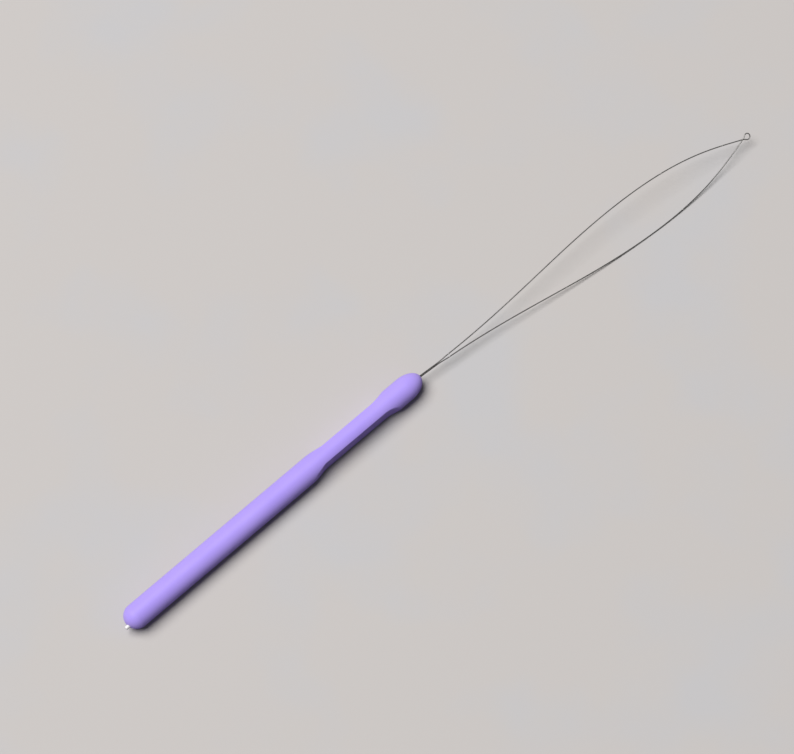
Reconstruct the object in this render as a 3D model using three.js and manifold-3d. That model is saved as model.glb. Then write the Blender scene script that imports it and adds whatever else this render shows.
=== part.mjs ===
// Loop threader: a slim soft-grip handle with a long spring wire loop.
// Millimetres. X runs along the handle towards the wire, Z is up, and the
// origin lies on the resting plane under the middle of the grip.
import * as THREE from 'three';
import { mergeVertices } from 'three/addons/utils/BufferGeometryUtils.js';
import Module from 'manifold-3d';

const wasm = await Module();
wasm.setup();

// Grip sizes
const gripLength = 130;
const gripDiameter = 8.7;
const gripWall = 1.2;
const gripFrontWall = 2;
const frontDomeLength = 7.2;
const gripSides = 48;
const domeSteps = 7;

// Thumb rests: a flat pressed into each side of the grip, the right one a little longer
const thumbRests = [
  { side: 1, fromButt: 81.3, flatLength: 21.4, frontRampLength: 7.4 },
  { side: -1, fromButt: 78.3, flatLength: 26.9, frontRampLength: 5.7 },
];
const rearRampLength = 6.4;
const thumbRestThickness = 5.6;
const thumbRestRoll = THREE.MathUtils.degToRad(1.5);
const frontRampSteps = 5;

// Rigid core, seen only as a small pin end at the butt
const fitGap = 0.3;
const coreSides = 24;
const buttPinDiameter = 1.3;
const buttPinProud = 1.1;
const buttPinRounding = 0.3;
const buttPinOffAxis = 1;

// Steel sleeve crimped round the two wire tails
const sleeveLength = 9;
const sleeveWall = 0.3;
const sleeveBoreGap = 0.25;
const sleeveSides = 16;
const crimpCount = 2;
const crimpWidth = 1.6;
const crimpDepth = 0.1;
const crimpSlope = 0.4;
const tailBehindSleeve = 1;
const tailEndGap = 0.8;

// Spring wire
const wireDiameter = 0.4;
const wireSides = 8;
const wireStep = 5;
const strandGap = 0.15;
const mouthGap = 0.2;
const spanGap = 0.3;

// Loop, laid out in its own plane: distances along it start at the neck
const loopLength = 143.7;
const loopHalfWidth = 8.1;
const crossingFromWidest = 45.3;
const neckEase = 40;
const rearEase = 33;
const frontEase = 23.5;
const crossingEase = 11;
const crossingHalfAngle = THREE.MathUtils.degToRad(18.9);
const loopYaw = THREE.MathUtils.degToRad(3.91);
const crossingRise = 18;

// Eye: a keyhole just past the crossing
const eyeRadius = 1.1;
const eyeCentreFromCrossing = 2.15;
const eyeThroatAngle = THREE.MathUtils.degToRad(40);
const throatEaseOut = 0.45;
const throatEaseIn = 0.55;
const eyeStep = 0.4;

// Where the wire is taken to flex, besides its widest point
const rearFlex = 23;
const frontFlexFromWidest = 24;
const eyeLegLength = 2.5;

// Places worked out from the sizes
const gripRadius = gripDiameter / 2;
const axisHeight = gripRadius * Math.cos(Math.PI / gripSides);
const buttX = -gripLength / 2;
const neckX = gripLength / 2;
const wireRadius = wireDiameter / 2;
const pairOffset = (wireDiameter + strandGap) / 2;
const pairRadius = pairOffset + wireRadius;
const sleeveBoreRadius = pairRadius + sleeveBoreGap;
const sleeveRadius = sleeveBoreRadius + sleeveWall;
const coreFrontX = neckX - gripFrontWall - fitGap;
const sleeveFrontX = coreFrontX - fitGap;
const tailEndX = sleeveFrontX - sleeveLength - tailBehindSleeve;
const widestFromNeck = loopLength - crossingFromWidest;
const frontFlex = widestFromNeck + frontFlexFromWidest;
const eyeFlex = loopLength - eyeLegLength;
const loopRoll = Math.asin((axisHeight - wireRadius) / loopHalfWidth);

// Materials
const gripRubber = new THREE.MeshStandardMaterial({ color: 0xb5a5fa, roughness: 0.62, metalness: 0 });
const coreWhite = new THREE.MeshStandardMaterial({ color: 0xf2f1ee, roughness: 0.4, metalness: 0 });
const springSteel = new THREE.MeshStandardMaterial({ color: 0x6b6866, roughness: 0.32, metalness: 0.95 });
const sleeveSteel = new THREE.MeshStandardMaterial({ color: 0xa8a9ab, roughness: 0.38, metalness: 0.9 });

// Closed mesh to solid and back, for cuts and joins
function toSolid(geometry) {
  const bare = geometry.clone();
  bare.deleteAttribute('normal');
  bare.deleteAttribute('uv');
  const merged = mergeVertices(bare, 1e-4);
  return new wasm.Manifold(new wasm.Mesh({
    numProp: 3,
    vertProperties: new Float32Array(merged.attributes.position.array),
    triVerts: new Uint32Array(merged.index.array),
  }));
}

function toGeometry(solid) {
  const mesh = solid.getMesh();
  const geometry = new THREE.BufferGeometry();
  geometry.setAttribute('position', new THREE.BufferAttribute(mesh.vertProperties, 3));
  geometry.setIndex(new THREE.BufferAttribute(mesh.triVerts, 1));
  geometry.computeVertexNormals();
  return geometry;
}

// A body turned about the X axis. Outline points are (radius, x).
function turned(outline, sides) {
  const points = outline.map(([radius, x]) => new THREE.Vector2(radius, x));
  const geometry = new THREE.LatheGeometry(points, sides, Math.PI / sides);
  return geometry.rotateZ(-Math.PI / 2);
}

function rod(radius, fromX, toX, sides) {
  return turned([[0, fromX], [radius, fromX], [radius, toX], [0, toX]], sides);
}

// Quarter of an ellipse from the axis out to the full radius, or back to the axis
function domeOutline(centreX, reach, radius, inwards) {
  const points = [];
  for (let step = 0; step <= domeSteps; step += 1) {
    const share = inwards ? 1 - step / domeSteps : step / domeSteps;
    const turn = share * Math.PI / 2;
    const onAxis = share === 0;
    points.push([onAxis ? 0 : radius * Math.sin(turn), centreX + reach * Math.cos(turn)]);
  }
  return points;
}

// Cutter for one thumb rest, set in from the grip's surface by `inset`
function thumbRestCutter(inset, rest) {
  const clear = gripRadius;
  const full = gripRadius - inset;
  const flat = thumbRestThickness / 2 - inset;
  const rampStart = buttX + rest.fromButt;
  const flatStart = rampStart + rearRampLength;
  const flatEnd = flatStart + rest.flatLength;
  const rampEnd = flatEnd + rest.frontRampLength;
  const shape = new THREE.Shape();
  shape.moveTo(rampStart, full);
  shape.lineTo(flatStart, flat);
  shape.lineTo(flatEnd, flat);
  shape.quadraticCurveTo((flatEnd + rampEnd) / 2, flat, rampEnd, full);
  shape.lineTo(rampEnd, full + clear);
  shape.lineTo(rampStart, full + clear);
  shape.closePath();
  const depth = 2 * gripDiameter;
  const geometry = new THREE.ExtrudeGeometry(shape, {
    depth,
    bevelEnabled: false,
    curveSegments: frontRampSteps,
  });
  geometry.translate(0, 0, -depth / 2);
  if (rest.side < 0) {
    geometry.rotateX(Math.PI);
  }
  geometry.rotateX(thumbRestRoll);
  return toSolid(geometry);
}

// The handle's outer form, set in by `inset` round the sides and `frontInset` at the neck
function handleForm(inset, frontInset, sides) {
  const radius = gripRadius - inset;
  const buttCentre = buttX + gripRadius;
  const domeCentre = neckX - frontDomeLength;
  const outline = [
    ...domeOutline(buttCentre, -radius, radius, false),
    ...domeOutline(domeCentre, frontDomeLength - frontInset, radius, true),
  ];
  let solid = toSolid(turned(outline, sides));
  for (const rest of thumbRests) {
    solid = solid.subtract(thumbRestCutter(inset, rest));
  }
  return solid;
}

// Soft grip: a moulded sleeve open at the butt pin and at the wire's mouth
function makeGrip() {
  const cavity = handleForm(gripWall, gripFrontWall, coreSides);
  const holeRadius = buttPinDiameter / 2 + fitGap;
  const pinHole = rod(holeRadius, buttX - gripWall, buttX + 2 * gripWall, coreSides);
  pinHole.translate(0, -buttPinOffAxis, 0);
  const mouth = rod(pairRadius + mouthGap, neckX - 2 * gripFrontWall, neckX + gripFrontWall, coreSides);
  const grip = handleForm(0, 0, gripSides)
    .subtract(cavity)
    .subtract(toSolid(pinHole))
    .subtract(toSolid(mouth));
  return toGeometry(grip);
}

// Rigid core: the same form one wall further in, with the butt pin and the sleeve's seat
function makeCore() {
  const pinRadius = buttPinDiameter / 2;
  const pinEnd = buttX - buttPinProud;
  const pin = turned([
    [0, pinEnd],
    [pinRadius - buttPinRounding, pinEnd],
    [pinRadius, pinEnd + buttPinRounding],
    [pinRadius, buttX + gripRadius],
    [0, buttX + gripRadius],
  ], coreSides);
  pin.translate(0, -buttPinOffAxis, 0);
  const seat = rod(sleeveRadius + fitGap, tailEndX - tailEndGap, neckX, coreSides);
  const core = handleForm(gripWall + fitGap, gripFrontWall + fitGap, coreSides)
    .add(toSolid(pin))
    .subtract(toSolid(seat));
  return toGeometry(core);
}

// One wall of the sleeve, from its rear end to its front end, drawn in at each crimp
function crimpedOutline(radius) {
  const rearX = sleeveFrontX - sleeveLength;
  const pitch = sleeveLength / crimpCount;
  const points = [[radius, rearX]];
  for (let crimp = 0; crimp < crimpCount; crimp += 1) {
    const middle = rearX + pitch * (crimp + 0.5);
    const half = crimpWidth / 2;
    points.push([radius, middle - half]);
    points.push([radius - crimpDepth, middle - half + crimpSlope]);
    points.push([radius - crimpDepth, middle + half - crimpSlope]);
    points.push([radius, middle + half]);
  }
  points.push([radius, sleeveFrontX]);
  return points;
}

function makeSleeve() {
  const outer = crimpedOutline(sleeveRadius);
  const inner = crimpedOutline(sleeveBoreRadius).reverse();
  return turned([...outer, ...inner, outer[0]], sleeveSides);
}

// Round wire along a curve
function wireAlong(curve, stepLength) {
  const section = new THREE.Shape();
  section.absarc(0, 0, wireRadius, 0, 2 * Math.PI, false);
  return new THREE.ExtrudeGeometry(section, {
    extrudePath: curve,
    steps: Math.max(2, Math.round(curve.getLength() / stepLength)),
    curveSegments: wireSides / 2,
    bevelEnabled: false,
  });
}

// Half of the loop in its own plane: neck to the widest point, then to the crossing
const rearArc = new THREE.CubicBezierCurve(
  new THREE.Vector2(0, pairOffset),
  new THREE.Vector2(neckEase, pairOffset),
  new THREE.Vector2(widestFromNeck - rearEase, loopHalfWidth),
  new THREE.Vector2(widestFromNeck, loopHalfWidth),
);
const frontArc = new THREE.CubicBezierCurve(
  new THREE.Vector2(widestFromNeck, loopHalfWidth),
  new THREE.Vector2(widestFromNeck + frontEase, loopHalfWidth),
  new THREE.Vector2(
    loopLength - crossingEase * Math.cos(crossingHalfAngle),
    crossingEase * Math.sin(crossingHalfAngle),
  ),
  new THREE.Vector2(loopLength, 0),
);

// Distance of the strand from the loop's middle line, `along` millimetres from the neck
function halfWidthAt(along) {
  const arc = along < widestFromNeck ? rearArc : frontArc;
  let low = 0;
  let high = 1;
  while (high - low > 1e-7) {
    const middle = (low + high) / 2;
    if (arc.getPoint(middle).x < along) {
      low = middle;
    } else {
      high = middle;
    }
  }
  return arc.getPoint(low).y;
}

// How far a strand stands off the loop's plane: the lower one passes over the upper
function riseAt(along, side) {
  const share = THREE.MathUtils.smoothstep(along, loopLength - crossingRise, loopLength);
  return -side * pairOffset * share;
}

function strandPoint(along, side) {
  return new THREE.Vector3(along, side * halfWidthAt(along), riseAt(along, side));
}

// Stretch of one strand between two distances from the neck. Side is 1 for the upper one.
class StrandCurve extends THREE.Curve {
  constructor(from, to, side) {
    super();
    this.from = from;
    this.to = to;
    this.side = side;
  }

  getPoint(t, target = new THREE.Vector3()) {
    return target.copy(strandPoint(THREE.MathUtils.lerp(this.from, this.to, t), this.side));
  }
}

// The eye's throat in the loop's plane: from the round part back to the crossing
const eyeCentre = loopLength + eyeCentreFromCrossing;
const eyeTurn = Math.PI / 2 + eyeThroatAngle;
const throatStart = new THREE.Vector2(
  eyeCentre + eyeRadius * Math.cos(eyeTurn),
  -eyeRadius * Math.sin(eyeTurn),
);
const eyeThroat = new THREE.CubicBezierCurve(
  throatStart,
  new THREE.Vector2(
    throatStart.x - throatEaseIn * Math.cos(eyeThroatAngle),
    throatStart.y + throatEaseIn * Math.sin(eyeThroatAngle),
  ),
  new THREE.Vector2(
    loopLength + throatEaseOut * Math.cos(crossingHalfAngle),
    -throatEaseOut * Math.sin(crossingHalfAngle),
  ),
  new THREE.Vector2(loopLength, 0),
);

// The end eye: out past the crossing, once round and back over itself
class EyeCurve extends THREE.Curve {
  constructor(from) {
    super();
    this.legLength = loopLength - from;
    this.arcLength = eyeRadius * eyeTurn;
    this.throatLength = eyeThroat.getLength();
    this.pastCrossing = this.arcLength + this.throatLength;
    this.halfLength = this.pastCrossing + this.legLength;
  }

  // Half of the eye from its far end back to the cut, in the loop's plane
  halfPoint(distance) {
    if (distance <= this.arcLength) {
      const turn = distance / eyeRadius;
      return [eyeCentre + eyeRadius * Math.cos(turn), -eyeRadius * Math.sin(turn)];
    }
    if (distance <= this.pastCrossing) {
      const point = eyeThroat.getPointAt((distance - this.arcLength) / this.throatLength);
      return [point.x, point.y];
    }
    const along = loopLength - (distance - this.pastCrossing);
    return [along, halfWidthAt(along)];
  }

  getPoint(t, target = new THREE.Vector3()) {
    const side = t < 0.5 ? 1 : -1;
    const distance = Math.abs(1 - 2 * t) * this.halfLength;
    const [along, across] = this.halfPoint(distance);
    const share = Math.min(distance / this.pastCrossing, 1);
    const rise = along < loopLength ? riseAt(along, side) : -side * pairOffset * share;
    return target.set(along, side * across, rise);
  }
}

// Scene graph
function place(parent, name, geometry, material) {
  const mesh = new THREE.Mesh(geometry, material);
  mesh.name = name;
  parent.add(mesh);
  return mesh;
}

const threader = new THREE.Group();

const handle = new THREE.Group();
handle.position.set(0, 0, axisHeight);
threader.add(handle);
place(handle, 'grip', makeGrip(), gripRubber);
place(handle, 'handle_core', makeCore(), coreWhite);
place(handle, 'crimp_sleeve', makeSleeve(), sleeveSteel);

const halfGap = spanGap / 2;
const sides = [['upper', 1], ['lower', -1]];

// Tails: the wire's two ends, straight and side by side through the sleeve to the mouth
const tails = new THREE.Group();
tails.position.set(neckX, 0, axisHeight);
tails.rotation.x = loopRoll;
threader.add(tails);
for (const [label, side] of sides) {
  const line = new THREE.LineCurve3(
    new THREE.Vector3(tailEndX - neckX, side * pairOffset, 0),
    new THREE.Vector3(-halfGap, side * pairOffset, 0),
  );
  place(tails, `${label}_wire_tail`, wireAlong(line, wireStep), springSteel);
}

// Loop: rolled until the lower strand touches the resting plane
const loopHeading = new THREE.Group();
loopHeading.position.set(neckX, 0, axisHeight);
loopHeading.rotation.z = -loopYaw;
threader.add(loopHeading);
const loop = new THREE.Group();
loop.rotation.x = loopRoll;
loopHeading.add(loop);

const spans = [
  ['wire_stem', 0, rearFlex],
  ['strand_rear', rearFlex, widestFromNeck],
  ['strand_middle', widestFromNeck, frontFlex],
  ['strand_front', frontFlex, eyeFlex],
];
for (const [label, side] of sides) {
  for (const [span, from, to] of spans) {
    const curve = new StrandCurve(from + halfGap, to - halfGap, side);
    place(loop, `${label}_${span}`, wireAlong(curve, wireStep), springSteel);
  }
}
place(loop, 'tip_eye', wireAlong(new EyeCurve(eyeFlex + halfGap), eyeStep), springSteel);

export default threader;
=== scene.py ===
import math

import bpy
import numpy as np
from mathutils import Matrix, Vector


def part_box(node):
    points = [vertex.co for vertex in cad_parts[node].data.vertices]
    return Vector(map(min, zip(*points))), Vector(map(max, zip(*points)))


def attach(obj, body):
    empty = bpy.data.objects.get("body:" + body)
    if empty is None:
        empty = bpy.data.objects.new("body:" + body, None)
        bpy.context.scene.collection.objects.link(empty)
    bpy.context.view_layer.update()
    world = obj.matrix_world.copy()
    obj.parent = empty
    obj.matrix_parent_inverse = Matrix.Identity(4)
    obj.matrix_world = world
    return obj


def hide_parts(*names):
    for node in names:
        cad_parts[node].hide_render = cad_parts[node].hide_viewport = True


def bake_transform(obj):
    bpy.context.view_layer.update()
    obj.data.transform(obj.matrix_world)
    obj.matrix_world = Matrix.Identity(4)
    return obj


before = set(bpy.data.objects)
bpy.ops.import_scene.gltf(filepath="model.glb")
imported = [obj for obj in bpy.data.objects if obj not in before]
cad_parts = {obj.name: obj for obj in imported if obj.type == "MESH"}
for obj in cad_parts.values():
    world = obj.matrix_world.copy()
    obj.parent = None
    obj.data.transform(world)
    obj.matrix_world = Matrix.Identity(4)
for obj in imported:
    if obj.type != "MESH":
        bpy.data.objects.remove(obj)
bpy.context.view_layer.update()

mm = 0.001

# Spring wire, bent to its line
# One length of bright drawn spring steel, about 0.4 mm thick, bent cold. Its two strands leave the
# handle side by side, open like a leaf, cross, and meet in an eye that is wound once round a pin.
grip_low, grip_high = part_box("grip")
neck_x = grip_high.x
axis_height = (grip_low.z + grip_high.z) / 2

wire_thick = 0.39 * mm
wire_radius = wire_thick / 2
strand_offset = 0.275 * mm

# The leaf, by distance along the loop from the neck. The pulls say how long the wire keeps its
# direction at the neck, behind and ahead of the widest place, and at the crossing.
loop_length = 143.7 * mm
loop_half_width = 8.1 * mm
widest_at = loop_length - 45.3 * mm
neck_pull = 40 * mm
widest_pull_back = 33 * mm
widest_pull_on = 23.5 * mm
crossing_pull = 11 * mm
crossing_half_angle = math.radians(18.9)
crossing_rise = 18 * mm

# How the loop stands to the handle: turned a little to the right, and rolled over till the lower
# strand lies on the table. The turn at the neck is rounded.
loop_yaw = math.radians(3.91)
loop_roll = math.asin((axis_height - wire_radius) / loop_half_width)
neck_bend_reach = 1.2 * mm

# The two strands leave the handle touching, and ease out to the leaf's line between these places
held_offset = 0.205 * mm
held_to = 7 * mm
free_from = 12 * mm

# The eye, and the throat that joins it to the crossing
eye_radius = 1.1 * mm
eye_centre = loop_length + 2.15 * mm
throat_angle = math.radians(40)
throat_pull_out = 0.45 * mm
throat_pull_in = 0.55 * mm

# Where the wire flexes: where the strands part, at the widest place, ahead of it, and at the eye.
# Each reach is how far the bend spreads to either side.
part_at, part_reach = 23 * mm, 10 * mm
widest_reach = 11.5 * mm
ahead_at, ahead_reach = widest_at + 24 * mm, 11.5 * mm
eye_at, eye_reach = loop_length - 2.5 * mm, 2.3 * mm

# How many points the springy lines and the eye's ring are worked out at
line_points = 801
ring_points = 400


def pulled_line(start, pull_out, pull_in, end):
    """The line that a springy wire takes between two ends that are held in direction."""
    share = np.linspace(0, 1, line_points)[:, None]
    held = [np.array(point) for point in (start, pull_out, pull_in, end)]
    weights = ((1 - share) ** 3, 3 * (1 - share) ** 2 * share, 3 * (1 - share) * share**2, share**3)
    return sum(weight * point for weight, point in zip(weights, held))


leaf_outline = np.vstack([
    pulled_line(
        (0, strand_offset),
        (neck_pull, strand_offset),
        (widest_at - widest_pull_back, loop_half_width),
        (widest_at, loop_half_width),
    ),
    pulled_line(
        (widest_at, loop_half_width),
        (widest_at + widest_pull_on, loop_half_width),
        (
            loop_length - crossing_pull * math.cos(crossing_half_angle),
            crossing_pull * math.sin(crossing_half_angle),
        ),
        (loop_length, 0),
    )[1:],
])


def half_width(along):
    return float(np.interp(along, leaf_outline[:, 0], leaf_outline[:, 1]))


def eased(share):
    """A share that starts and ends gently, kept between 0 and 1."""
    share = min(max(share, 0.0), 1.0)
    return share * share * (3 - 2 * share)


def rise(along, side):
    """How far a strand stands off the leaf's plane: at the crossing the lower one lies on top."""
    return -side * strand_offset * eased((along - loop_length + crossing_rise) / crossing_rise)


def spacing(along):
    """How far a strand lies from the middle line: the two touch where they leave the handle."""
    freed = eased((along - held_to) / (free_from - held_to))
    return held_offset + freed * (half_width(max(along, 0)) - held_offset)


at_neck = Matrix.Translation((neck_x, 0, axis_height))
lay_tails = at_neck @ Matrix.Rotation(loop_roll, 4, "X")
lay_loop = at_neck @ Matrix.Rotation(-loop_yaw, 4, "Z") @ Matrix.Rotation(loop_roll, 4, "X")


def strand_point(along, side):
    """A point on the upper strand (side 1) or the lower one (side -1), by its distance from the
    neck. Behind the neck the strands run straight."""
    if along < 0:
        point = lay_tails @ Vector((along, side * spacing(along), 0))
    else:
        point = lay_loop @ Vector((along, side * spacing(along), rise(along, side)))
    if abs(along) < neck_bend_reach:
        bent = (along + neck_bend_reach) ** 2 / (4 * neck_bend_reach)
        point.y -= math.tan(loop_yaw) * (bent - max(along, 0))
    return point


# Half of the eye in the leaf's plane, from its far end back to the crossing
ring_turns = np.linspace(0, math.pi / 2 + throat_angle, ring_points)
eye_ring = np.stack(
    [eye_centre + eye_radius * np.cos(ring_turns), -eye_radius * np.sin(ring_turns)], axis=1
)
eye_throat = pulled_line(
    eye_ring[-1],
    eye_ring[-1] - throat_pull_in * np.array([math.cos(throat_angle), -math.sin(throat_angle)]),
    (
        loop_length + throat_pull_out * math.cos(crossing_half_angle),
        -throat_pull_out * math.sin(crossing_half_angle),
    ),
    (loop_length, 0),
)
eye_outline = np.vstack([eye_ring, eye_throat[1:]])
eye_steps = np.linalg.norm(np.diff(eye_outline, axis=0), axis=1)
eye_gone = np.concatenate([[0], np.cumsum(eye_steps)])
eye_half = float(eye_gone[-1])


def eye_point(past_tip):
    """A point on the eye, by its distance past the far end. The upper strand's half is below 0."""
    side = 1 if past_tip < 0 else -1
    along, across = (np.interp(abs(past_tip), eye_gone, eye_outline[:, axis]) for axis in (0, 1))
    lift = strand_offset * abs(past_tip) / eye_half
    return lay_loop @ Vector((along, side * across, -side * lift))


# Spring wire, drawn to a round
# The wire is pulled through a die, so its surface is round, bright and finely lined lengthwise.
# Each piece below is one stretch of it.
wire_facets = 20
dome_rings = 5
dome_lean = math.radians(86)


def sew_rings(name, rings, joined=False):
    """A closed skin over rings of points. The last ring meets the first where they are joined, and
    otherwise both ends are closed at their middle."""
    rings = np.array(rings, float)
    count, around = rings.shape[:2]
    points = list(map(tuple, rings.reshape(-1, 3)))
    faces = []
    for ring in range(count if joined else count - 1):
        here, there = ring * around, (ring + 1) % count * around
        for step in range(around):
            after = (step + 1) % around
            faces.append((here + step, here + after, there + after, there + step))
    if not joined:
        for ring, flip in ((0, True), (count - 1, False)):
            middle = len(points)
            points.append(tuple(rings[ring].mean(axis=0)))
            for step in range(around):
                edge = (ring * around + step, ring * around + (step + 1) % around)
                faces.append((*(reversed(edge) if flip else edge), middle))
    skin = bpy.data.meshes.new(name)
    skin.from_pydata(points, [], faces)
    skin.validate()
    for face in skin.polygons:
        face.use_smooth = True
    piece = bpy.data.objects.new(name, skin)
    bpy.context.scene.collection.objects.link(piece)
    return piece


def draw_wire(name, line, round_end=False):
    """Round wire along a line of points. It is cut square, or its last end is a half ball."""
    line = [Vector(point) for point in line]
    heading = (line[1] - line[0]).normalized()
    across = heading.orthogonal().normalized()
    rings = []
    for index, point in enumerate(line):
        before, after = line[max(index - 1, 0)], line[min(index + 1, len(line) - 1)]
        new_heading = (after - before).normalized()
        across = heading.rotation_difference(new_heading) @ across
        across = (across - across.dot(new_heading) * new_heading).normalized()
        heading = new_heading
        other = heading.cross(across)
        spokes = []
        for step in range(wire_facets):
            turn = 2 * math.pi * step / wire_facets
            spokes.append(across * math.cos(turn) + other * math.sin(turn))
        domed = round_end and index == len(line) - 1
        for step in range(dome_rings + 1 if domed else 1):
            lean = step / dome_rings * dome_lean
            middle = point + heading * wire_radius * math.sin(lean)
            rings.append([middle + spoke * wire_radius * math.cos(lean) for spoke in spokes])
    return sew_rings(name, rings)


def start_finish(name):
    """A new finish: the material, its node tree, its shader and the piece's own coordinates."""
    finish = bpy.data.materials.new(name)
    finish.use_nodes = True
    tree = finish.node_tree
    place = tree.nodes.new("ShaderNodeTexCoord")
    return finish, tree, tree.nodes["Principled BSDF"], place.outputs["Object"]


def mottle(tree, place, size, detail):
    """Soft patches about `size` across: one number, or three where they are longer one way."""
    sizes = size if isinstance(size, tuple) else (size, size, size)
    stretch = tree.nodes.new("ShaderNodeMapping")
    stretch.inputs["Scale"].default_value = [1 / each for each in sizes]
    tree.links.new(place, stretch.inputs["Vector"])
    noise = tree.nodes.new("ShaderNodeTexNoise")
    noise.inputs["Scale"].default_value = 1.0
    noise.inputs["Detail"].default_value = detail
    tree.links.new(stretch.outputs["Vector"], noise.inputs["Vector"])
    return noise.outputs["Fac"]


def spread(tree, amount, low, high, start=0.3, end=0.7):
    """Turns an amount between start and end into one between low and high."""
    node = tree.nodes.new("ShaderNodeMapRange")
    node.inputs["From Min"].default_value = start
    node.inputs["From Max"].default_value = end
    node.inputs["To Min"].default_value = low
    node.inputs["To Max"].default_value = high
    tree.links.new(amount, node.inputs["Value"])
    return node.outputs["Result"]


def between(tree, share, one, other):
    """A colour between two, by share."""
    node = tree.nodes.new("ShaderNodeMix")
    node.data_type = "RGBA"
    for socket, colour in (("A", one), ("B", other)):
        target = [s for s in node.inputs if s.name == socket and s.type == "RGBA"][0]
        if isinstance(colour, tuple):
            target.default_value = (*colour, 1)
        else:
            tree.links.new(colour, target)
    tree.links.new(share, node.inputs["Factor"])
    return [s for s in node.outputs if s.type == "RGBA"][0]


def relief(tree, shader, heights):
    """Fine relief on a finish, from pairs of a height and its depth in metres."""
    normal = None
    for height, depth in heights:
        bump = tree.nodes.new("ShaderNodeBump")
        bump.inputs["Distance"].default_value = depth
        tree.links.new(height, bump.inputs["Height"])
        if normal:
            tree.links.new(normal, bump.inputs["Normal"])
        normal = bump.outputs["Normal"]
    tree.links.new(normal, shader.inputs["Normal"])


steel_pale = (0.185, 0.182, 0.177)
steel_dark = (0.10, 0.098, 0.097)
drawn_steel, tree, shader, place = start_finish("drawn_spring_steel")
die_lines = mottle(tree, place, (6 * mm, 0.05 * mm, 0.05 * mm), 3)
handling = mottle(tree, place, 9 * mm, 3)
tree.links.new(
    between(tree, spread(tree, handling, 0, 1), steel_dark, steel_pale),
    shader.inputs["Base Color"],
)
tree.links.new(spread(tree, die_lines, 0.14, 0.28), shader.inputs["Roughness"])
shader.inputs["Metallic"].default_value = 1.0
shader.inputs["Anisotropic"].default_value = 0.3
relief(tree, shader, [(die_lines, 0.002 * mm)])

# Spring wire, its stretches
# Tails crimped inside the handle, then strands that part at 23 mm, are widest at 98 mm and turn in
# to the eye. Each stretch spans one flexing place and butts the next where both are still.
tail_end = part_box("upper_wire_tail")[0].x - neck_x
neck_bend_end = 10 * mm
parting_from = 12 * mm
wide_from = 60 * mm
closing_from = 111 * mm
leg_from = 136 * mm
strand_step = 0.75 * mm
stretches = [
    # name, its start and end along the wire, where its bend starts and ends
    ("neck_strand", tail_end, parting_from, 0.0, neck_bend_end),
    ("parting_strand", parting_from, wide_from, part_at - part_reach, part_at + part_reach),
    ("wide_strand", wide_from, closing_from, widest_at - widest_reach, widest_at + widest_reach),
    ("closing_strand", closing_from, leg_from, ahead_at - ahead_reach, ahead_at + ahead_reach),
]
nodes_along = ["wire_tail", "wire_stem", "strand_rear", "strand_middle", "strand_front"]


def line_between(start, end, side, step):
    count = max(2, round((end - start) / step) + 1)
    return [strand_point(along, side) for along in np.linspace(start, end, count)]


for side_name, side in (("upper", 1), ("lower", -1)):
    for index, (label, start, end, bend_start, bend_end) in enumerate(stretches):
        last_below = label == "closing_strand" and side < 0
        line = line_between(start, eye_at if last_below else end, side, strand_step)
        stretch = draw_wire(f"{side_name}_{label}", line, last_below)
        stretch.data.materials.append(drawn_steel)
        strand_point(bend_start, side)
        strand_point(bend_end, side)
        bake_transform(stretch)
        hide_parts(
            f"{side_name}_{nodes_along[index]}",
            f"{side_name}_{nodes_along[index + 1]}",
        )

# Spring wire, the eye
# The last turn of the same wire, wound round a 1.8 mm pin: the upper strand passes under the lower
# one, goes once round and comes back over it. The upper leg spans the place where it flexes.
leg_step = 0.4 * mm
eye_step = 0.09 * mm
crossing_step = 0.25 * mm

eye_leg = draw_wire("upper_eye_leg", line_between(leg_from, loop_length, 1, leg_step))
eye_leg.data.materials.append(drawn_steel)
strand_point(eye_at - eye_reach, 1)
strand_point(eye_at + eye_reach, 1)
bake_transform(eye_leg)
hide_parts("upper_strand_front", "tip_eye")

eye_rings = round(2 * eye_half / eye_step)
eye_line = [eye_point(past) for past in np.linspace(-eye_half, eye_half, eye_rings + 1)]
eye_line += reversed(line_between(eye_at, loop_length, -1, crossing_step)[:-1])
end_eye = draw_wire("end_eye", eye_line, True)
end_eye.data.materials.append(drawn_steel)
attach(end_eye, "eye")
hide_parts("tip_eye")

# Crimp sleeve
# A short steel tube pushed over both tails and pressed in two places, so that the wire can't pull
# out. It is cut from drawn tube and sits in the core, where it doesn't show.
sleeve_low, sleeve_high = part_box("crimp_sleeve")
sleeve_outer = 1.025 * mm
sleeve_inner = 0.725 * mm
sleeve_edge = 0.05 * mm
press_count = 2
press_width = 1.6 * mm
press_depth = 0.1 * mm
press_slope = 0.4 * mm
sleeve_facets = 48
sleeve_rings = 61


def pressed(x):
    """How far the tube is pressed in at x."""
    pitch = (sleeve_high.x - sleeve_low.x) / press_count
    offset = (x - sleeve_low.x) % pitch - pitch / 2
    return press_depth * eased((press_width / 2 - abs(offset)) / press_slope)


def turned_rings(outline, facets):
    """Rings round the handle's axis, from pairs of a place along it and a radius."""
    turns = np.linspace(0, 2 * math.pi, facets, endpoint=False)
    return [
        [(x, radius * math.cos(t), axis_height + radius * math.sin(t)) for t in turns]
        for x, radius in outline
    ]


# Out along the tube's outside and back through its bore
sleeve_places = np.linspace(sleeve_low.x + sleeve_edge, sleeve_high.x - sleeve_edge, sleeve_rings)
sleeve_outline = [
    (sleeve_low.x, sleeve_outer - sleeve_edge),
    *((x, sleeve_outer - pressed(x)) for x in sleeve_places),
    (sleeve_high.x, sleeve_outer - sleeve_edge),
    (sleeve_high.x, sleeve_inner + sleeve_edge),
    *((x, sleeve_inner - pressed(x)) for x in sleeve_places[::-1]),
    (sleeve_low.x, sleeve_inner + sleeve_edge),
]
sleeve = sew_rings("pressed_sleeve", turned_rings(sleeve_outline, sleeve_facets), joined=True)

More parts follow.
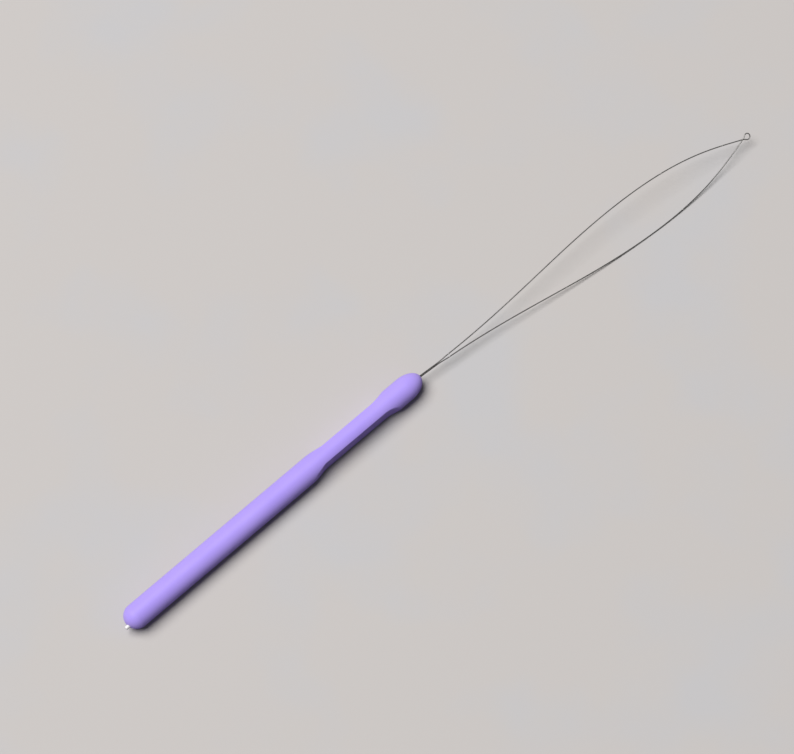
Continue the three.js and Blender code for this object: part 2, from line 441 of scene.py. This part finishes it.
tube_dark = (0.52, 0.52, 0.53)
tube_pale = (0.66, 0.66, 0.67)
tube_steel, tree, shader, place = start_finish("tube_steel")
draw_marks = mottle(tree, place, (4 * mm, 0.12 * mm, 0.12 * mm), 3)
tree.links.new(
    between(tree, spread(tree, draw_marks, 0, 1), tube_dark, tube_pale),
    shader.inputs["Base Color"],
)
tree.links.new(spread(tree, draw_marks, 0.28, 0.42), shader.inputs["Roughness"])
shader.inputs["Metallic"].default_value = 1.0
relief(tree, shader, [(draw_marks, 0.004 * mm)])
sleeve.data.materials.append(tube_steel)
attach(sleeve, "handle")
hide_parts("crimp_sleeve")

# Core
# The stiff inside of the handle, moulded in white plastic round the sleeve. All that shows of it is
# the rounded end of its locating pin at the butt, which held it in the mould for the soft grip.
mould_radius = 4.35 * mm
handle_radius = axis_height  # it lies on the table, a hair lower than its mould's radius
butt_x = grip_low.x
butt_centre = butt_x + handle_radius
nose_reach = 7.2 * mm
nose_centre = neck_x - nose_reach
handle_facets = 168

# The thumb rests, pressed flat into both sides of core and grip
rests = {
    # which side: how far from the butt it starts, how long its flat and its front ramp are
    "left": (81.3 * mm, 21.4 * mm, 7.4 * mm),
    "right": (78.3 * mm, 26.9 * mm, 5.7 * mm),
}
rear_ramp = 6.4 * mm
rest_roll = math.radians(1.5)
rest_half = 2.8 * mm
ramp_height = mould_radius - rest_half
ramp_softness = 0.12 * mm
edge_softness = 0.14 * mm

# Rings stand close together at the ramps, and wide apart where the handle is plain
ramp_margin = 1 * mm
ramp_step = 0.25 * mm
plain_step = 1.2 * mm

core_low, core_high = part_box("handle_core")
core_inset = 1.5 * mm
core_radius = handle_radius - core_inset
seat_radius = 1.325 * mm
seat_back_x = sleeve_low.x - 1.8 * mm
pin_radius = 0.65 * mm
pin_off_axis = 1.0 * mm
pin_rounding = 0.3 * mm
pin_first_lean = math.radians(4)
pin_end_rings = 9
core_butt_rings = 24
core_nose_rings = 16


def soft_min(one, other, reach):
    """The lesser of two lengths, with the corner between them rounded over `reach`."""
    near = np.maximum(reach - np.abs(one - other), 0) / reach
    return np.minimum(one, other) - near * near * reach / 4


def rest_places(which):
    """Where along the handle a thumb rest starts, is flat, stops being flat and ends."""
    from_butt, flat_length, front_ramp = rests[which]
    return butt_x + from_butt + np.cumsum([0, rear_ramp, flat_length, front_ramp])


def rest_depth(x, which):
    """How far a thumb rest lies from the handle's middle at x, as if the rest ran on."""
    start, flat_start, flat_end, end = rest_places(which)
    if x < flat_end:
        ramp = ramp_height * (flat_start - x) / (flat_start - start)
        return rest_half - float(soft_min(-ramp, 0.0, ramp_softness))
    share = (x - flat_end) / (end - flat_end)
    return rest_half + ramp_height * share * share


def handle_ring(x, radius, inset=0.0):
    """A ring of the handle: round, with its sides pressed flat where the thumb rests are."""
    turns = np.linspace(0, 2 * math.pi, handle_facets, endpoint=False)
    across, height = radius * np.cos(turns), radius * np.sin(turns)
    limit = np.where(across > 0, rest_depth(x, "left"), rest_depth(x, "right")) - inset
    across = np.sign(across) * soft_min(np.abs(across), limit, edge_softness)
    rolled_across = across * math.cos(rest_roll) - height * math.sin(rest_roll)
    rolled_height = across * math.sin(rest_roll) + height * math.cos(rest_roll)
    return np.stack([np.full(handle_facets, x), rolled_across, axis_height + rolled_height], axis=1)


def dome_outline(centre_x, reach, radius, from_radius, steps):
    """A quarter of an ellipse from from_radius out to the full radius."""
    first = math.asin(from_radius / radius)
    leans = np.linspace(first, math.pi / 2, steps)
    return [(centre_x + reach * math.cos(lean), radius * math.sin(lean)) for lean in leans]


def butt_rings(radius, hole, steps):
    """Rings round the butt's dome, from the hole for the pin out to the barrel. They start round
    the pin, which stands off the axis, and end round the handle."""
    turns = np.linspace(0, 2 * math.pi, handle_facets, endpoint=False)
    first = math.asin(hole / radius)
    rings = []
    for lean in np.linspace(first, math.pi / 2, steps):
        shift = pin_off_axis * (math.cos(lean) / math.cos(first)) ** 2
        across = radius * math.sin(lean) * np.cos(turns) - shift
        height = radius * math.sin(lean) * np.sin(turns)
        back = np.sqrt(np.maximum(radius**2 - across**2 - height**2, 0))
        rings.append(np.stack([butt_centre - back, across, axis_height + height], axis=1))
    return rings


def pin_ring(x, radius):
    """A ring round the pin, which stands off the handle's axis."""
    turns = np.linspace(0, 2 * math.pi, handle_facets, endpoint=False)
    across = radius * np.cos(turns) - pin_off_axis
    height = radius * np.sin(turns)
    return np.stack([np.full(handle_facets, x), across, axis_height + height], axis=1)


def barrel_places():
    """Places along the barrel, from where the butt's dome ends to where the nose's starts."""
    ramps = []
    for start, flat_start, flat_end, end in map(rest_places, rests):
        ramps.append((start - ramp_margin, flat_start + ramp_margin))
        ramps.append((flat_end, end + ramp_margin))
    places = [butt_centre]
    while places[-1] < nose_centre:
        x = places[-1]
        fine = any(low < x < high for low, high in ramps)
        places.append(x + (ramp_step if fine else plain_step))
    return places[1:-1]


core_rings = []
for lean in np.linspace(pin_first_lean, math.pi / 2, pin_end_rings):
    edge_radius = pin_radius - pin_rounding + pin_rounding * math.sin(lean)
    core_rings.append(pin_ring(core_low.x + pin_rounding * (1 - math.cos(lean)), edge_radius))
core_rings += butt_rings(core_radius, pin_radius, core_butt_rings)
core_nose = dome_outline(
    nose_centre, core_high.x - nose_centre, core_radius, seat_radius, core_nose_rings
)
core_outline = [(x, core_radius) for x in [*barrel_places(), nose_centre]]
core_outline += core_nose[-2::-1]
core_rings += [handle_ring(x, radius, core_inset) for x, radius in core_outline]
core_rings += turned_rings([(seat_back_x, seat_radius)], handle_facets)
core = sew_rings("moulded_core", core_rings)

plastic_cream = (0.84, 0.835, 0.82)
plastic_white = (0.9, 0.895, 0.885)
white_plastic, tree, shader, place = start_finish("white_plastic")
flow = mottle(tree, place, (5 * mm, 1.2 * mm, 1.2 * mm), 2)
mould_grain = mottle(tree, place, 0.18 * mm, 3)
tree.links.new(
    between(tree, spread(tree, flow, 0, 1), plastic_cream, plastic_white),
    shader.inputs["Base Color"],
)
tree.links.new(spread(tree, mould_grain, 0.32, 0.46), shader.inputs["Roughness"])
relief(tree, shader, [(mould_grain, 0.004 * mm)])
core.data.materials.append(white_plastic)
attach(core, "handle")
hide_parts("handle_core")

# Soft grip
# Lavender soft-touch rubber moulded over the core, with a thumb rest pressed into each side. It is
# open at the butt round the pin, and closes on the wire at the neck. Its bond to the core holds it.
grip_wall = 1.2 * mm
nose_wall = 2.0 * mm
lining_radius = handle_radius - grip_wall
skin_dome_rings = 34
lining_butt_rings = 14
lining_nose_rings = 12

# The lip rolls in round the pin
pin_hole_radius = pin_radius + 0.16 * mm
lining_hole_radius = pin_hole_radius + 0.03 * mm
lip = 0.16 * mm
lip_first_lean = math.radians(15)
lip_rings = 5

# The mouth at the neck is a rounded slot for the two strands, which lie side by side, rolled over
mouth_clearance = 0.03 * mm
mouth_half_long = strand_offset + wire_radius + mouth_clearance
mouth_half_short = wire_radius + mouth_clearance
mouth_squareness = 4
mouth_rim_radius = 0.75 * mm
mouth_funnel = [
    # how far behind the nose's end, and how much wider than the slot
    (0.03 * mm, 0.12 * mm),
    (0.07 * mm, 0.05 * mm),
    (0.18 * mm, 0.0),
    (nose_wall - 0.05 * mm, 0.0),
]


def mouth_ring(x, grow):
    """A ring of the slot that the rubber leaves for the strands."""
    turns = np.linspace(0, 2 * math.pi, handle_facets, endpoint=False)
    long, short = mouth_half_long + grow, mouth_half_short + grow
    away = turns - loop_roll
    sides = (
        np.abs(np.cos(away) / long) ** mouth_squareness
        + np.abs(np.sin(away) / short) ** mouth_squareness
    )
    reach = sides ** (-1 / mouth_squareness)
    across, height = reach * np.cos(turns), reach * np.sin(turns)
    return np.stack([np.full(handle_facets, x), across, axis_height + height], axis=1)


butt_skin = butt_rings(handle_radius, pin_hole_radius + lip, skin_dome_rings)
lip_ring = butt_skin[0]
rolled_lip = []
for lean in np.linspace(lip_first_lean, math.pi / 2, lip_rings):
    inwards = lip * math.sin(lean) / (pin_hole_radius + lip)
    ring = lip_ring + np.array([0, -pin_off_axis, axis_height]) * inwards
    ring[:, 1:] -= lip_ring[:, 1:] * inwards
    ring[:, 0] += lip * (1 - math.cos(lean))
    rolled_lip.append(ring)

nose_skin = dome_outline(nose_centre, nose_reach, handle_radius, mouth_rim_radius, skin_dome_rings)
skin_outline = [(x, handle_radius) for x in [*barrel_places(), nose_centre]]
skin_outline += nose_skin[-2::-1]
lining_outline = dome_outline(
    nose_centre, nose_reach - nose_wall, lining_radius, mouth_rim_radius, lining_nose_rings
)
lining_outline += [(x, lining_radius) for x in barrel_places()[::-1]]

# Out over the skin from the butt to the mouth, and back along the lining
grip_rings = rolled_lip[::-1] + butt_skin
grip_rings += [handle_ring(x, radius) for x, radius in skin_outline]
grip_rings += [mouth_ring(neck_x - behind, grow) for behind, grow in mouth_funnel]
grip_rings += [handle_ring(x, radius, grip_wall) for x, radius in lining_outline]
grip_rings += butt_rings(lining_radius, lining_hole_radius, lining_butt_rings)[::-1]
grip = sew_rings("soft_grip", grip_rings, joined=True)

lavender_deep = (0.372, 0.262, 0.985)
lavender = (0.415, 0.30, 1.0)
lavender_bloom = (0.62, 0.5, 1.0)
soft_rubber, tree, shader, place = start_finish("soft_touch_rubber")
cloud = mottle(tree, place, (14 * mm, 6 * mm, 6 * mm), 3)
speck = mottle(tree, place, 0.35 * mm, 3)
fine_grain = mottle(tree, place, 0.09 * mm, 2)
tree.links.new(
    between(tree, spread(tree, cloud, 0, 1), lavender_deep, lavender),
    shader.inputs["Base Color"],
)
tree.links.new(spread(tree, speck, 0.42, 0.56), shader.inputs["Roughness"])
shader.inputs["Specular IOR Level"].default_value = 0.4
shader.inputs["Sheen Weight"].default_value = 1.0
shader.inputs["Sheen Roughness"].default_value = 1.0
shader.inputs["Sheen Tint"].default_value = (*lavender_bloom, 1)
relief(tree, shader, [(speck, 0.012 * mm), (fine_grain, 0.006 * mm)])
grip.data.materials.append(soft_rubber)
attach(grip, "handle")
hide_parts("grip")

# Table
# A plain pale top under the tool, matte and very slightly uneven in tone. It isn't part of the
# tool. It gives soft light back as a darker, violet top would, so the tool's shaded side is deep.
table_warm = (0.563, 0.538, 0.526)
table_cool = (0.545, 0.538, 0.549)
table_bounce = (0.16, 0.13, 0.21)
table_reach = 5.0
table_cells = 8


def seen_straight(tree):
    """1 for what the camera sees, also in gloss and through glass, and 0 for soft light."""
    ray = tree.nodes.new("ShaderNodeLightPath")
    share = ray.outputs["Is Camera Ray"]
    for kind in ("Is Glossy Ray", "Is Transmission Ray"):
        add = tree.nodes.new("ShaderNodeMath")
        add.operation = "MAXIMUM"
        tree.links.new(share, add.inputs[0])
        tree.links.new(ray.outputs[kind], add.inputs[1])
        share = add.outputs[0]
    return share


def lay_table(name, reach, cells):
    """A square top round the middle of the scene, `reach` to each side."""
    edge = np.linspace(-reach, reach, cells + 1)
    points = [(x, y, 0.0) for y in edge for x in edge]
    row = cells + 1
    faces = [
        (j * row + i, j * row + i + 1, (j + 1) * row + i + 1, (j + 1) * row + i)
        for j in range(cells)
        for i in range(cells)
    ]
    sheet = bpy.data.meshes.new(name)
    sheet.from_pydata(points, [], faces)
    top = bpy.data.objects.new(name, sheet)
    bpy.context.scene.collection.objects.link(top)
    return top


table_top = lay_table("table_top", table_reach, table_cells)
table_finish, tree, shader, place = start_finish("pale_table")
tone = mottle(tree, place, 55 * mm, 3)
tooth = mottle(tree, place, 0.8 * mm, 3)
seen_tone = between(tree, spread(tree, tone, 0, 1, 0.48, 0.68), table_warm, table_cool)
tree.links.new(
    between(tree, seen_straight(tree), table_bounce, seen_tone),
    shader.inputs["Base Color"],
)
shader.inputs["Roughness"].default_value = 0.85
shader.inputs["Specular IOR Level"].default_value = 0.1
relief(tree, shader, [(tooth, 0.01 * mm)])
table_top.data.materials.append(table_finish)

# Light
# One large soft lamp, high up on the handle's left, and a pale room that fills the shadows a
# little. The room looks pale, but only a little of its light reaches the tool.
room_fill = 0.07
fill_colour = (0.96, 0.98, 1.0)
room_pale = (0.595, 0.58, 0.57)
room = bpy.data.worlds.new("pale_room")
bpy.context.scene.world = room
room.use_nodes = True
tree = room.node_tree
fill = tree.nodes["Background"]
fill.inputs["Color"].default_value = (*fill_colour, 1)
fill.inputs["Strength"].default_value = room_fill
seen = tree.nodes.new("ShaderNodeBackground")
seen.inputs["Color"].default_value = (*room_pale, 1)
seen.inputs["Strength"].default_value = 1.0
choose = tree.nodes.new("ShaderNodeMixShader")
tree.links.new(seen_straight(tree), choose.inputs["Fac"])
tree.links.new(fill.outputs[0], choose.inputs[1])
tree.links.new(seen.outputs[0], choose.inputs[2])
tree.links.new(choose.outputs[0], tree.nodes["World Output"].inputs["Surface"])

# Lamp and room together light a level surface to light_level, where 1 shows colours as written
lit_place = Vector((0.06, 0.0, 0.0))
lamp_way = Vector((-0.24, 0.36, 1.0)).normalized()
lamp_distance = 5.0
lamp_width = 4.0
lamp_colour = (1.0, 0.99, 0.98)
light_level = 1.08
lamp_level = (light_level - room_fill) / lamp_way.z
lamp = bpy.data.lights.new("soft_lamp", "AREA")
lamp.shape = "DISK"
lamp.size = lamp_width
lamp.energy = math.pi**2 * (lamp_distance**2 + lamp_width**2 / 4) * lamp_level
lamp.color = lamp_colour
lamp_stand = bpy.data.objects.new("soft_lamp", lamp)
lamp_stand.location = lit_place + lamp_way * lamp_distance
lamp_stand.rotation_mode = "QUATERNION"
lamp_stand.rotation_quaternion = (-lamp_way).to_track_quat("-Z", "Y")
lamp_stand.visible_camera = False
bpy.context.scene.collection.objects.link(lamp_stand)

# Camera
# It looks steeply down on the tool from beyond its butt and its right side, the -Y side. It stands
# far off, with a long lens.
camera_elevation = math.radians(70)
camera_azimuth = math.radians(-41.84)
camera_distance = 0.9
looks_at = Vector((58.85 * mm, 5.08 * mm, 4.33 * mm))
camera_back = Vector((
    math.sin(camera_azimuth) * math.cos(camera_elevation),
    -math.cos(camera_azimuth) * math.cos(camera_elevation),
    math.sin(camera_elevation),
))
camera = bpy.data.objects.new("camera", bpy.data.cameras.new("camera"))
camera.data.sensor_width = 36
camera.data.lens = 120.19
camera.data.clip_start = 0.01
camera.location = looks_at + camera_back * camera_distance
camera.rotation_mode = "QUATERNION"
camera.rotation_quaternion = (-camera_back).to_track_quat("-Z", "Y")
bpy.context.scene.collection.objects.link(camera)
bpy.context.scene.camera = camera
bpy.context.scene.view_settings.view_transform = "Standard"
